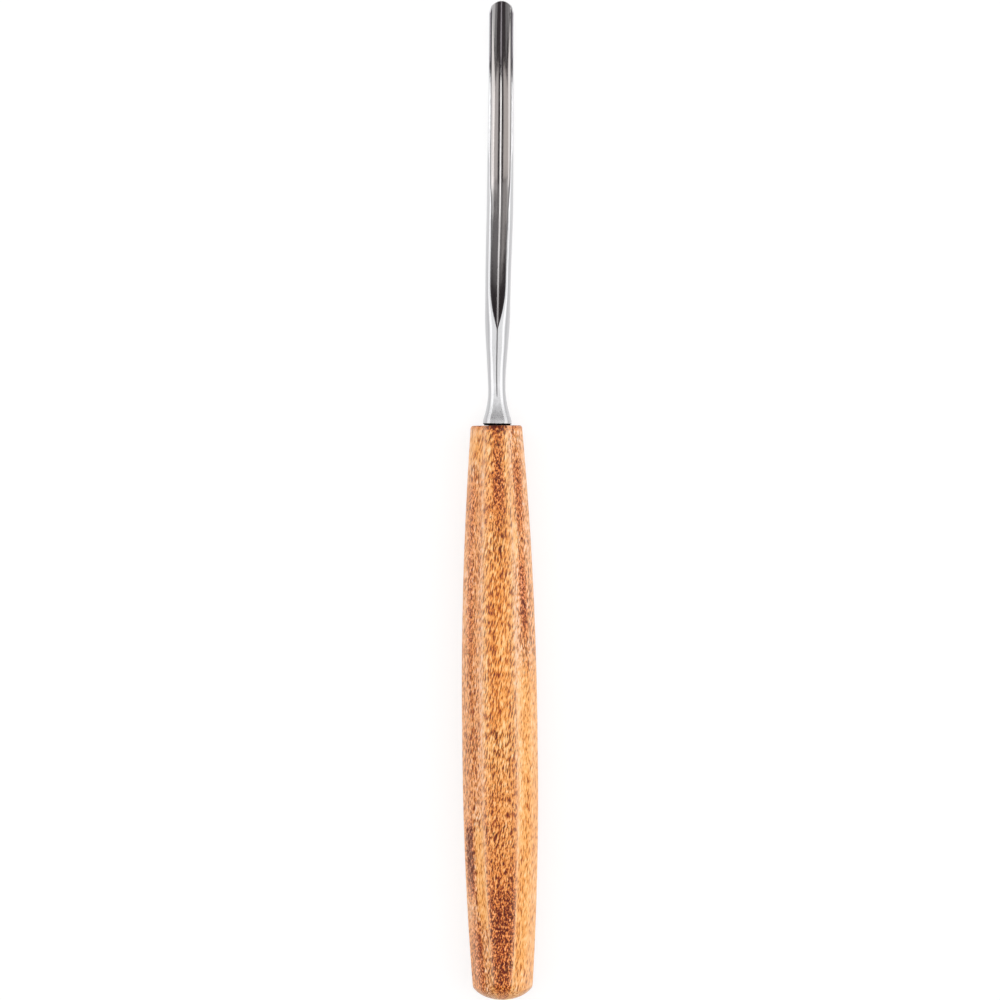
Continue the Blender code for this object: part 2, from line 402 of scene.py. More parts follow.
@dataclass(frozen=True)
class LacqueredBeech:
    """Stained beech under lacquer: slanted dashes, dark flecks where the stain took, pale arrises and sides.

    The arrises are pale partly from wear and partly as painted highlight, and the slanted and upright
    flats are paler and pinker as painted sheen of the lacquer. The handle's mesh carries the stain,
    which is negative where less was taken and holds painted shade at the front end, the arrises, and
    the side, which is 0 on the top and 1 on the upright flats.
    """

    deep: Colour = tone(90, 28, 8)
    stops: tuple[tuple[float, Colour], ...] = (
        (0.20, deep),
        (0.38, tone(168, 72, 24)),
        (0.52, tone(234, 148, 62)),
        (0.68, tone(253, 190, 112)),
        (0.86, tone(254, 222, 172)),
    )
    # Pale pinkish cream of the painted sheen on the upright flats and of the pale arrises.
    side: Colour = tone(241, 193, 156)
    # Cooler, pinker tint of the painted sheen on the slanted and upright flats.
    side_sheen_tint: Colour = (0.94, 0.96, 1.30, 1.0)
    soak: Colour = (1.04, 0.89, 0.98, 1.0)
    warm: Colour = (1.03, 0.93, 0.78, 1.0)
    dashes: Triple = (2800.0, 500.0, 2800.0)
    grains: Triple = (2600.0, 1200.0, 2600.0)
    flecks: Triple = (2400.0, 540.0, 2400.0)
    dash_layers: Point = (2.0, 0.55)
    grain_layers: Point = (2.0, 0.6)
    fleck_layers: Point = (1.0, 0.5)
    streaks: Triple = (420.0, 14.0, 420.0)
    patches: Triple = (150.0, 45.0, 150.0)
    sway: Triple = (90.0, 22.0, 90.0)
    slant: float = 0.17
    wander: float = 0.0008
    spared_range: Point = (-0.12, 0.0)
    top_range: Point = (0.2, 0.4)
    mark_range: Point = (-0.7, 0.0)
    side_sheen_range: Point = (0.34, 0.46)
    side_sheen_stain_range: Point = (-0.5, -0.1)
    side_sheen_least: float = 0.15
    upright_sheen_range: Point = (0.68, 0.92)
    patch_range: Point = (0.35, 0.65)
    gloss_range: Point = (0.3, 0.7)
    ground: float = 0.36
    streak_weight: float = 0.28
    patch_weight: float = 0.14
    mark_weights: Point = (1.05, 2.75)
    lift_weight: float = 0.58
    calm_dips: float = 0.66
    calm_shade: float = 0.035
    stain_shade: float = 0.10
    crowd_shade: float = 0.05
    arris_lift_highlight_and_wear: float = 0.10
    arris_pale_highlight_and_wear: float = 0.48
    side_sheen: float = 0.45
    fleck_shares: Point = (0.35, 0.29)
    stain_flecks: float = 0.13
    soaked_flecks: float = 0.12
    sheen_and_wear_flecks: float = 0.08
    fleck_crispness: float = 12.0
    fleck_cover: Point = (0.85, 0.45)
    fleck_depth: float = 0.5
    relief: Point = (0.25, 0.00006)
    gloss: Point = (0.52, 0.40)

    def material(self) -> bpy.types.Material:
        """Builds the material."""
        shader = Shader(bpy.data.materials.new("lacquered_beech"))
        place = self.grain_place(shader)
        turned = shader.add("Mapping", place)
        turned.inputs["Rotation"].default_value = (0.0, 0.0, self.slant)
        slanted = turned.outputs[0]
        # The stain attribute also holds painted shade at the front end, next to the bolster.
        stain, arris, side = (shader.attribute(name) for name in ("stain", "arris", "side"))
        taken = shader.most(stain, 0.0)
        crowd = shader.sum("MAXIMUM", stain, 0.0, held=True)
        spared = shader.span(stain, *self.spared_range, 1.0, 0.0)
        calm = shader.times(spared, shader.span(side, *self.top_range, 1.0, 0.0))

        dashes = shader.noise(slanted, self.dashes, *self.dash_layers)
        grains = shader.noise(slanted, self.grains, *self.grain_layers)
        figure = shader.plus(dashes, shader.times(shader.minus(grains, dashes), crowd))
        strength = shader.span(stain, *self.mark_range, *self.mark_weights)
        marks = shader.times(shader.minus(figure, 0.5), strength)
        dips = shader.times(shader.least(marks, 0.0), shader.span(calm, 0.0, 1.0, 1.0, self.calm_dips))
        lifts = shader.times(shader.most(marks, 0.0), self.lift_weight)
        patches = shader.noise(place, self.patches)
        streaks = shader.times(shader.noise(place, self.streaks), self.streak_weight)
        shade = shader.plus(self.ground, shader.plus(streaks, shader.times(patches, self.patch_weight)))
        shade = shader.plus(shade, shader.plus(dips, lifts))
        for cause, weight in ((calm, self.calm_shade), (stain, self.stain_shade), (taken, self.crowd_shade)):
            shade = shader.minus(shade, shader.times(cause, weight))
        # Arrises are lifted paler: partly wear, partly painted highlight of the lacquer.
        shade = shader.plus(shade, shader.times(arris, self.arris_lift_highlight_and_wear))
        colour = shader.ramp(shade, self.stops)

        # The slanted and upright flats get the painted sheen's tint, less where less stain was taken.
        tanned = shader.span(stain, *self.side_sheen_stain_range, self.side_sheen_least, 1.0)
        side_sheen_share = shader.times(shader.span(side, *self.side_sheen_range), tanned)
        for share, tint in ((side_sheen_share, self.side_sheen_tint), (crowd, self.soak), (calm, self.warm)):
            colour = shader.blend(share, colour, tint, "MULTIPLY")
        # Upright flats blend towards the pale colour as painted sheen of the lacquer; arrises as wear and
        # painted highlight.
        upright_sheen = shader.span(side, *self.upright_sheen_range, 0.0, self.side_sheen)
        bare = shader.most(shader.times(arris, self.arris_pale_highlight_and_wear), upright_sheen)
        colour = shader.blend(bare, colour, self.side)

        limit = shader.span(patches, *self.patch_range, *self.fleck_shares)
        limit = shader.plus(limit, shader.times(shader.least(stain, 1.0), self.stain_flecks))
        soaked = shader.most(shader.minus(stain, 1.0), 0.0)
        limit = shader.plus(limit, shader.times(soaked, self.soaked_flecks))
        # Fewer flecks under the painted sheen and on the worn, highlighted arrises.
        limit = shader.minus(limit, shader.times(bare, self.sheen_and_wear_flecks))
        flecks = shader.noise(slanted, self.flecks, *self.fleck_layers)
        fleck = shader.sum("MULTIPLY", shader.minus(limit, flecks), self.fleck_crispness, held=True)
        cover = shader.times(fleck, shader.span(calm, 0.0, 1.0, *self.fleck_cover))
        colour = shader.blend(cover, colour, self.deep)
        height = shader.minus(figure, shader.times(fleck, self.fleck_depth))
        return shader.surface(
            Base_Color=colour,
            Roughness=shader.span(figure, *self.gloss_range, *self.gloss),
            Specular_IOR_Level=0.2,
            Normal=shader.bump(height, *self.relief),
            Coat_Weight=0.1,
            Coat_Roughness=0.25,
        )

    def grain_place(self, shader: Shader) -> Socket:
        """Gives coordinates along the grain, which wanders a little.

        Args:
            shader: The material's tree.

        Returns:
            The coordinates.
        """
        place = shader.place()
        sway = shader.vector("SUBTRACT", shader.noise(place, self.sway, output="Color"), (0.5, 0.5, 0.5))
        return shader.vector("MULTIPLY_ADD", sway, (self.wander, 0.0, self.wander), place)


@dataclass(frozen=True)
class PaleFloor:
    """White paper: the camera and the steel see it white and softly shadowed, other light bounces off it."""

    paper: Colour = (0.85, 0.85, 0.85, 1.0)
    shaded: Colour = (0.30, 0.30, 0.30, 1.0)
    glow: float = 0.74

    def material(self) -> bpy.types.Material:
        """Builds the material."""
        shader = Shader(bpy.data.materials.new("pale_floor"))
        path = shader.add("LightPath").outputs
        seen = shader.most(path["Is Camera Ray"], path["Is Glossy Ray"])
        seen = shader.most(seen, path["Is Transmission Ray"])
        paper = shader.add("BsdfDiffuse", self.paper).outputs[0]
        shaded = shader.add("BsdfDiffuse", self.shaded).outputs[0]
        light = shader.add("Emission")
        light.inputs["Strength"].default_value = self.glow
        lit = shader.add("AddShader", shaded, light.outputs[0]).outputs[0]
        return shader.shown(shader.add("MixShader", seen, paper, lit).outputs[0])


def turned_blank(mesh: bmesh.types.BMesh, chain: list[Point], steps: int) -> None:
    """Turns an open chain of points round the Y axis.

    Args:
        mesh: An empty mesh, which gets the blank.
        chain: Pairs of radius and place along Y.
        steps: Steps of the full turn.
    """
    verts = [mesh.verts.new((radius, along, 0.0)) for radius, along in chain]
    edges = [mesh.edges.new(pair) for pair in zip(verts, verts[1:])]
    middle = (0.0, 0.0, 0.0)
    bmesh.ops.spin(
        mesh, geom=verts + edges, cent=middle, axis=ALONG, angle=FULL_TURN, steps=steps, use_merge=True
    )
    bmesh.ops.remove_doubles(mesh, verts=mesh.verts[:], dist=MERGE_DISTANCE)


def rank(part: bmesh.types.BMEdge | bmesh.types.BMFace, count: int) -> int:
    """Ranks an edge or a face by its three lowest corners.

    Args:
        part: The edge or face.
        count: How many corners the mesh has.

    Returns:
        Its rank, which no other edge or face of the mesh has.
    """
    total = 0
    for index in sorted(vert.index for vert in part.verts)[:3]:
        total = total * count + index
    return total


def finished_piece(
    mesh: bmesh.types.BMesh, name: str, finishes: list[bpy.types.Material], sharp_degrees: float
) -> bpy.types.Object:
    """Makes a finished mesh an object of the scene, smooth but for its real edges.

    Args:
        mesh: The mesh, which is freed.
        name: The piece's name.
        finishes: Its materials, in the order of its faces' material numbers.
        sharp_degrees: The angle between faces above which an edge stays sharp.

    Returns:
        The object.
    """
    bmesh.ops.recalc_face_normals(mesh, faces=mesh.faces[:])
    mesh.verts.index_update()
    for parts in (mesh.edges, mesh.faces):
        # The operators leave them in an order that changes from run to run.
        parts.sort(key=lambda part: rank(part, len(mesh.verts)))
    data = bpy.data.meshes.new(name)
    mesh.to_mesh(data)
    mesh.free()
    for finish in finishes:
        data.materials.append(finish)
    data.shade_smooth()
    data.set_sharp_from_angle(angle=math.radians(sharp_degrees))
    piece = bpy.data.objects.new(name, data)
    bpy.context.scene.collection.objects.link(piece)
    return piece


def stand_in(piece: bpy.types.Object, node: str) -> None:
    """Puts a piece on the one body in place of its CAD node.

    Args:
        piece: The piece.
        node: The CAD node that it stands for.
    """
    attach(piece, "root")
    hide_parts(node)
    LOG.info("%s stands for %s: %d faces", piece.name, node, len(piece.data.polygons))


@dataclass(frozen=True)
class Stain:
    """A stretch of one flat that took more stain, or less where its strength is negative."""

    flat: Flat
    start: float
    end: float
    strength: float
    offset: float = 0.0
    half_width: float = 0.02
    fade: float = 0.012

    def amount(self, flat: Flat, station: float, across: float) -> float:
        """Gives the stain at a place on the handle.

        Args:
            flat: The flat that the place is on.
            station: Its distance from the front face.
            across: Its distance from the middle of the flat, anticlockwise seen from the butt.

        Returns:
            The stain there.
        """
        if flat is not self.flat:
            return 0.0
        rise = ease((station - self.start) / self.fade + 0.5)
        fall = ease((self.end - station) / self.fade + 0.5)
        side = ease(1.5 - abs(across - self.offset) / self.half_width)
        return self.strength * rise * fall * side


@dataclass
class Handle:
    """The octagonal barrel handle, from its flat front face to its domed butt, with the tang's hole."""

    node: str = "handle"
    belly_start: float = 0.084
    belly_land: float = 0.010
    flats: Triple = (0.01434, 0.02114, 0.01622)
    corners: Triple = (0.0147, 0.0220, 0.0146)
    front_round: float = 0.0007
    dome_rise: float = 0.0062
    dome_margin: float = 0.0002
    dome_crispness: float = 70.0
    crispness: Point = (46.0, 105.0)
    crispness_change: Point = (1.2, 0.1)
    hole_offset: float = 0.0001
    hole_lean: float = math.radians(1.5)
    hole_mouth: float = 0.0056
    hole_end: float = 0.0028
    hole_depth: float = 0.0599
    hole_crispness: float = 14.0
    wear_and_highlight: Point = (12.0, 24.0)
    wear_and_highlight_change: Point = (2.0, 0.8)
    steps: int = 224
    barrel_step: float = 0.0011
    hole_cells: int = 8
    face_cells: int = 5
    round_cells: int = 6
    dome_cells: int = 36
    crowding: float = 1.5
    sharp_degrees: float = 50.0
    # The darker band at the front end, next to the bolster, is painted shade of the gap there.
    bolster_shade_band: float = 0.0018
    bolster_shade: float = 0.75
    butt_band: float = 0.0045
    butt_stain: float = -0.35
    stains: tuple[Stain, ...] = (
        # The first stretch on the top, at its front edge, is painted shade of the gap under the bolster.
        Stain(Flat.TOP, -0.002, 0.0009, 1.20, half_width=0.0042, fade=0.001),
        Stain(Flat.TOP, 0.000, 0.022, 0.80, offset=-0.0004, half_width=0.0014),
        Stain(Flat.TOP, 0.014, 0.030, 0.40),
        Stain(Flat.TOP, 0.036, 0.088, -0.12, fade=0.020),
        Stain(Flat.TOP, 0.095, 0.170, 0.35, fade=0.030),
        Stain(Flat.TOP, 0.130, 0.164, 0.70, fade=0.024),
        Stain(Flat.TOP, 0.012, 0.036, -0.55, offset=-0.0031, half_width=0.0008),
        Stain(Flat.UPPER_RIGHT, 0.014, 0.038, -0.60, offset=0.0027, half_width=0.0010),
        Stain(Flat.UPPER_RIGHT, 0.010, 0.030, 0.55, offset=0.0004, half_width=0.0020),
        Stain(Flat.UPPER_RIGHT, 0.037, 0.057, 1.00, offset=0.0006, half_width=0.0013),
        Stain(Flat.UPPER_RIGHT, 0.066, 0.158, -0.48, fade=0.02),
        Stain(Flat.UPPER_LEFT, 0.002, 0.012, -0.50),
        Stain(Flat.UPPER_LEFT, 0.015, 0.062, 0.45, offset=0.0010, half_width=0.0012),
        Stain(Flat.UPPER_LEFT, 0.012, 0.112, 0.22),
        Stain(Flat.UPPER_LEFT, 0.112, 0.131, 2.00, offset=0.0020, half_width=0.0014, fade=0.008),
        Stain(Flat.UPPER_LEFT, 0.110, 0.142, -0.50, offset=-0.0022, half_width=0.0020),
        Stain(Flat.UPPER_LEFT, 0.140, 0.158, 1.00, offset=0.0014, half_width=0.0022),
        Stain(Flat.LEFT, 0.040, 0.075, 0.45),
        Stain(Flat.RIGHT, 0.090, 0.130, 0.40),
        Stain(Flat.LOWER_LEFT, 0.020, 0.050, 0.50),
        Stain(Flat.LOWER_RIGHT, 0.070, 0.120, 0.45),
        Stain(Flat.UNDER, 0.000, 0.040, 0.35),
        Stain(Flat.UNDER, 0.105, 0.158, 0.55, fade=0.022),
    )

    def __post_init__(self) -> None:
        """Reads the handle's place from its CAD node."""
        low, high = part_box(self.node)
        self.front = high.y
        self.length = high.y - low.y
        self.axis = Vector((0.5 * (low.x + high.x), 0.0, 0.5 * (low.z + high.z)))
        self.mouth = 0.5 * self.hole_mouth
        self.rim = self.flat_half(0.0) - self.front_round
        self.dome_start = self.length - self.dome_rise
        arris = math.hypot(self.flat_half(self.dome_start), self.half_side(self.dome_start))
        self.dome_radius = arris + self.dome_margin

    def barrel(self, station: float, widths: Triple) -> float:
        """Gives half a width of the barrel.

        Args:
            station: Distance from the front face.
            widths: The widths at the front, along the land at the belly and at the butt.

        Returns:
            Half the width there.
        """
        front, belly, butt = widths
        belly_end = self.belly_start + self.belly_land
        if station < self.belly_start:
            return 0.5 * (belly - (belly - front) * (1.0 - station / self.belly_start) ** 2)
        if station > belly_end:
            share = (station - belly_end) / (self.length - belly_end)
            return 0.5 * (belly - (belly - butt) * share**2)
        return 0.5 * belly

    def flat_half(self, station: float) -> float:
        """Gives the distance from the axis to the upright and level flats."""
        return self.barrel(station, self.flats)

    def corner_half(self, station: float) -> float:
        """Gives the distance from the axis to the corner flats."""
        return self.barrel(station, self.corners)

    def half_side(self, station: float) -> float:
        """Gives half the width of an upright or level flat."""
        flat = self.flat_half(station)
        return min(math.sqrt(2.0) * self.corner_half(station) - flat, flat)

    def hole_half(self, station: float) -> float:
        """Gives half the width of the hole."""
        return mix(self.mouth, 0.5 * self.hole_end, station / self.hole_depth)

    def chain(self) -> list[Point]:
        """Lists the blank's outline, from the bottom of the hole over the front to the butt.

        Returns:
            Pairs of radius and distance from the front face, negative because the handle runs back.
        """
        hole = [mix(self.hole_depth, 0.0, part / self.hole_cells) for part in range(self.hole_cells + 1)]
        points = [(0.0, -self.hole_depth)]
        points += [(self.hole_half(depth), -depth) for depth in hole]
        face = [part / self.face_cells for part in range(1, self.face_cells + 1)]
        points += [(mix(self.mouth, self.rim, share), 0.0) for share in face]
        turns = [QUARTER_TURN * part / self.round_cells for part in range(1, self.round_cells + 1)]
        depths = [self.front_round * (1.0 - math.cos(turn)) for turn in turns]
        count = round((self.dome_start - self.front_round) / self.barrel_step)
        depths += [mix(self.front_round, self.dome_start, part / count) for part in range(1, count + 1)]
        points += [(self.flat_half(depth), -depth) for depth in depths]
        for part in range(1, self.dome_cells):
            turn = QUARTER_TURN * part / self.dome_cells
            depth = self.dome_start + self.dome_rise * math.sin(turn)
            points.append((self.dome_radius * math.cos(turn), -depth))
        return points + [(0.0, -self.length)]

    def turned_to_flats(self, angle: float, station: float) -> float:
        """Turns a step of the blank so that steps crowd round the arrises and one lies on each.

        Args:
            angle: The step's angle on the blank.
            station: Distance from the front face.

        Returns:
            The angle on the octagon.
        """
        arris = math.atan2(self.half_side(station), self.flat_half(station))
        eighth = FULL_TURN / 8.0
        quarter = round(angle / QUARTER_TURN) * QUARTER_TURN
        turn = angle - quarter
        share = (abs(turn) - 0.5 * eighth) / (0.5 * eighth)
        crowded = math.copysign(abs(share) ** self.crowding, share)
        side = arris if crowded < 0.0 else eighth - arris
        return quarter + math.copysign(arris + crowded * side, turn)

    def reach(self, flat: Flat, angle: float, station: float, inset: float) -> float:
        """Gives a unit ray's length towards a flat over the flat's distance, which the inset draws in."""
        distance = self.corner_half(station) if flat.is_corner else self.flat_half(station)
        return max(0.0, math.cos(angle - flat.angle)) / (distance - inset)

    def change(self, station: float, steepness: float, delay: float) -> float:
        """Gives how far a change from the front to the butt has come, from 0 to 1."""
        return ease(station / self.length * steepness - delay)

    def surface(self, angle: float, station: float) -> tuple[float, float, Flat]:
        """Planes the eight flats, with soft arrises, and rounds the butt.

        Args:
            angle: Direction round the axis.
            station: Distance from the front face.

        Returns:
            The radius, how close the place is to an arris from 0 to 1, and the flat that it is on.
        """
        inset = 0.0
        if station < self.front_round:
            side = self.front_round - station
            inset = self.front_round - math.sqrt(self.front_round**2 - side**2)
        crispness = mix(*self.crispness, self.change(station, *self.crispness_change))
        reaches = [(self.reach(flat, angle, station, inset), flat.value) for flat in Flat]
        reaches.sort(reverse=True)
        flat = Flat(reaches[0][1])
        radius = sum(amount**crispness for amount, _ in reaches) ** (-1.0 / crispness)
        # The pale band along each arris is partly wear and partly painted highlight; this sets how narrow it
        # is.
        wear_and_highlight = mix(*self.wear_and_highlight, self.change(station, *self.wear_and_highlight_change))
        arris = (reaches[1][0] / reaches[0][0]) ** wear_and_highlight
        dome = self.dome_radius + max(0.0, self.dome_start - station)
        if station > self.dome_start:
            height = (station - self.dome_start) / self.dome_rise
            dome = self.dome_radius * math.sqrt(max(0.0, 1.0 - height * height))
        if dome < MERGE_DISTANCE:
            return 0.0, 0.0, flat
        past = 1.0 + (radius / dome) ** self.dome_crispness
        return radius * past ** (-1.0 / self.dome_crispness), arris / past, flat

    def stain(self, flat: Flat, station: float, across: float) -> float:
        """Gives the stain at a place: that of its flat, darker at the front end as painted shade next to the
        bolster, and less at the butt.

        Args:
            flat: The flat that the place is on.
            station: Its distance from the front face.
            across: Its distance from the middle of the flat.

        Returns:
            The stain there.
        """
        taken = sum(stain.amount(flat, station, across) for stain in self.stains)
        front = self.bolster_shade * ease(1.0 - station / self.bolster_shade_band)
        return taken + front + self.butt_stain * ease(1.0 - (self.length - station) / self.butt_band)

    def hole_point(self, angle: float, station: float) -> Point:
        """Squares the round hole: gives a point's place across the tool and its height, from the axis."""
        across, up = squared(self.hole_half(station), angle, self.hole_crispness)
        return across + self.hole_aside(station), up

    def hole_aside(self, station: float) -> float:
        """Gives how far the hole's middle lies to the side at a depth."""
        return self.hole_offset - math.tan(self.hole_lean) * station

    def shape(self, mesh: bmesh.types.BMesh) -> None:
        """Planes and bores the blank, and notes the stain, the arrises, pale from wear and painted highlight,
        and the sides on it.

        Args:
            mesh: The turned blank.
        """
        layers = [mesh.verts.layers.float.new(name) for name in ("stain", "arris", "side")]
        stain_layer, arris_layer, side_layer = layers
        for vert in mesh.verts:
            station = max(0.0, -vert.co.y)
            radius = math.hypot(vert.co.x, vert.co.z)
            angle = math.atan2(vert.co.z, vert.co.x)
            in_hole = radius < self.mouth + MERGE_DISTANCE and station < self.hole_depth + MERGE_DISTANCE
            if in_hole and radius < MERGE_DISTANCE:
                vert.co.x = self.hole_aside(station)
            elif in_hole:
                vert.co.x, vert.co.z = self.hole_point(angle, station)
            else:
                turned = self.turned_to_flats(angle, station)
                planed, arris, flat = self.surface(turned, station)
                place = (planed * math.cos(turned), planed * math.sin(turned))
                vert[stain_layer] = self.stain(flat, station, planed * math.sin(turned - flat.angle))
                vert[arris_layer] = arris
                vert[side_layer] = abs(math.cos(turned))
                if station < MERGE_DISTANCE:
                    share = (radius - self.mouth) / (self.rim - self.mouth)
                    inner = self.hole_point(angle, 0.0)
                    place = (mix(inner[0], place[0], share), mix(inner[1], place[1], share))
                vert.co.x, vert.co.z = place
        bmesh.ops.translate(mesh, verts=mesh.verts[:], vec=self.axis + ALONG * self.front)

    def build(self, finish: bpy.types.Material) -> None:
        """Builds the handle and puts it in place of its node.

        Args:
            finish: The wood.
        """
        mesh = bmesh.new()
        turned_blank(mesh, self.chain(), self.steps)
        self.shape(mesh)
        piece = finished_piece(mesh, "beech_handle", [finish], self.sharp_degrees)
        stand_in(piece, self.node)


@dataclass(frozen=True)
class Ring:
    """One section of the blade, at a distance along the spine, leaned back by an angle."""

    distance: float
    points: list[Point]
    lean: float = 0.0


@dataclass
class Blade:
    """The forged blade: tang, bolster, neck and bent fluted channel with its outside bevel."""

    node: str = "gouge_blade"
    seat_gap: float = 0.0004
    seat_offset: float = 0.0001
    seat_lean: float = math.radians(1.5)
    seat_inset: float = 0.0003
    seat_recess: float = 0.00036
    seat_edge: float = 0.0002
    # Rings with the near-black material: the tang, and the recess under the bolster as painted shade of the
    # gap.
    scale_and_gap_shade_rings: int = 6
    shoulder_length: float = 0.010
    flank_shade_fall: float = 0.6
    root_length: float = 0.026
    sway: tuple[Point, ...] = (
        (0.000, 0.00015), (0.016, -0.00024), (0.040, -0.00022),
        (0.063, 0.0), (0.080, -0.00007), (0.117, -0.00037),
    )
    tang_length: float = 0.060
    tang_root: float = 0.0050
    tang_end: float = 0.0022
    tang_crispness: float = 8.0
    reach: float = 0.11724
    crank_length: float = 0.010
    neck_angle: float = math.radians(7.5)
    bend_radius: float = 0.105
    tip_angle: float = math.radians(27.0)
    bolster_width: float = 0.0080
    bolster_land: float = 0.0011
    flare_length: float = 0.0090
    neck_width: float = 0.0048
    swell_length: float = 0.023
    body_widths: tuple[Point, ...] = ((0.030, 0.0070), (0.060, 0.0074), (0.084, 0.0072), (0.100, 0.0069))
    body_depth: float = 0.0024
    rim_height: float = 0.0002
    rim_fall: float = 0.045
    rim_edge: float = 0.0002
    edge_limits: Point = (0.3, 0.4)
    facet_limits: Point = (0.92, 0.80)
    flute_start: float = 0.0264
    flute_runout: float = 0.0135
    flute_radii: Point = (0.0046, 0.0042)
    flute_halves: tuple[Point, ...] = (
        (0.0264, 0.00195), (0.050, 0.00207), (0.060, 0.00225), (0.070, 0.00265), (0.077, 0.00269),
    )
    bevel_length: float = 0.0030
    bevel_rings: int = 5
    bevel_curve: float = 1.6
    edge_thickness: float = 0.00008
    heel_lean: float = math.radians(20.0)
    nose_lean: float = math.radians(52.0)
    nose_lean_run: float = 0.006
    line_half: float = 0.00012
    line_depth: float = 0.00004
    line_start: float = 0.007
    line_fade: float = 0.003
    bevel_slope: float = 0.90
    side_slope: float = 1.9
    side_share: float = 0.45
    least_wall: float = 0.00005
    step: float = 0.00075
    top_widths: tuple[Point, ...] = (
        (0.000, 0.0019), (0.010, 0.0015), (0.020, 0.0016), (0.027, 0.0019), (0.038, 0.00110),
        (0.070, 0.0010), (0.080, 0.00022),
    )
    side_widths: tuple[Point, ...] = (
        (0.000, 0.0012), (0.010, 0.00074), (0.020, 0.0010), (0.027, 0.00122), (0.038, 0.00082),
        (0.070, 0.0008), (0.080, 0.00010),
    )
    flute_cells: int = 18
    edge_cells: int = 4
    top_cells: int = 4
    bevel_cells: int = 4
    side_cells: int = 6
    wall_cells: int = 3
    belly_cells: int = 17
    sharp_degrees: float = 22.0

    def __post_init__(self) -> None:
        """Reads the blade's seat from the handle's CAD node, and lays out its spine and its cells."""
        low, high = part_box("handle")
        self.seat = Vector((0.5 * (low.x + high.x), high.y, 0.5 * (low.z + high.z)))
        self.seat += Vector((self.seat_offset, self.seat_gap, 0.0))
        crank_reach = self.crank_length * math.sin(self.neck_angle) / self.neck_angle
        bend_reach = self.bend_radius * (math.sin(self.neck_angle) + math.sin(self.tip_angle))
        straight = (self.reach - crank_reach - bend_reach) / math.cos(self.neck_angle)
        turn = self.neck_angle + self.tip_angle
        self.legs = ((self.crank_length, -self.neck_angle), (straight, 0.0), (self.bend_radius * turn, turn))
        self.length = sum(length for length, _ in self.legs)
        self.rim_start = self.flute_cells + self.edge_cells
        self.flank_start = self.rim_start + self.top_cells + self.bevel_cells
        self.around = 2 * (self.flank_start + self.side_cells + self.wall_cells + self.belly_cells)

    def spine(self, distance: float) -> Triple:
        """Walks along the spine, which goes on straight past its ends.

        Args:
            distance: How far from the seat.

        Returns:
            The place along the tool, the height and the slope there.
        """
        along = height = slope = 0.0
        rest = distance
        for length, turn in self.legs:
            run = max(0.0, min(rest, length))
            bent = turn * run / length
            chord = run * (math.sin(0.5 * bent) / (0.5 * bent) if bent else 1.0)
            along += chord * math.cos(slope + 0.5 * bent)
            height += chord * math.sin(slope + 0.5 * bent)
            slope += bent
            rest -= run
        return along + rest * math.cos(slope), height + rest * math.sin(slope), slope

    def flare(self, distance: float) -> float:
        """Gives how far the bolster stands out past the neck all round."""
        left = max(0.0, 1.0 - max(0.0, distance - self.bolster_land) / self.flare_length)
        return 0.5 * (self.bolster_width - self.neck_width) * left**2

    def swell(self, distance: float) -> float:
        """Gives how far the neck has turned into the body, from 0 to 1."""
        return ease((distance - self.flare_length) / self.swell_length)

    def half_width(self, distance: float) -> float:
        """Gives half the blade's width."""
        width = mix(self.neck_width, follow(self.body_widths, distance), self.swell(distance))
        return 0.5 * width + self.flare(distance)

    def depth(self, distance: float) -> float:
        """Gives how far the blade reaches below the spine."""
        return mix(0.5 * self.neck_width, self.body_depth, self.swell(distance)) + self.flare(distance)

    def rim(self, distance: float) -> float:
        """Gives the height of the top above the spine."""
        fall = ease((distance - self.flare_length) / self.rim_fall)
        return mix(0.5 * self.neck_width, self.rim_height, fall) + self.flare(distance)

    def flute(self, distance: float) -> Point:
        """Gives the flute's section, which is a fine line along the neck before the flute opens.

        Args:
            distance: How far from the seat.

        Returns:
            Half the flute's width and its depth below the rim.
        """
        past = distance - self.flute_start
        entry = max(0.0, min(1.0, past / self.flute_runout))
        half = follow(self.flute_halves, distance) * (1.0 - (1.0 - entry) ** 2)
        radius = mix(*self.flute_radii, ease(past / (self.length - self.flute_start)))
        depth = radius - math.sqrt(radius * radius - half * half)
        line = self.line_depth * ease((distance - self.line_start) / self.line_fade)
        return max(half, self.line_half), max(depth, line, MERGE_DISTANCE)

    def flute_points(self, wide: float, depth: float, top: float, edge: float) -> list[Point]:
        """Lists the right half of the flute from its middle to the rounded edge of the rim.

        Args:
            wide: Half the flute's width.
            depth: Its depth.
            top: The rim's height.
            edge: How far the rim's edge is rounded.

        Returns:
            Pairs of place across and height.
        """
        radius = (wide * wide + depth * depth) / (2.0 * depth)
        reach = math.asin(wide / radius)
        points = []
        for part in range(self.flute_cells + 1):
            angle = (reach - edge / radius) * part / self.flute_cells
            points.append((radius * math.sin(angle), top - depth + radius * (1.0 - math.cos(angle))))
        start = Vector(points[-1])
        corner = Vector((wide, top))
        end = Vector((wide + edge, top))
        for part in range(1, self.edge_cells + 1):
            share = part / self.edge_cells
            bent = start.lerp(corner, share).lerp(corner.lerp(end, share), share)
            points.append((bent.x, bent.y))
        return points

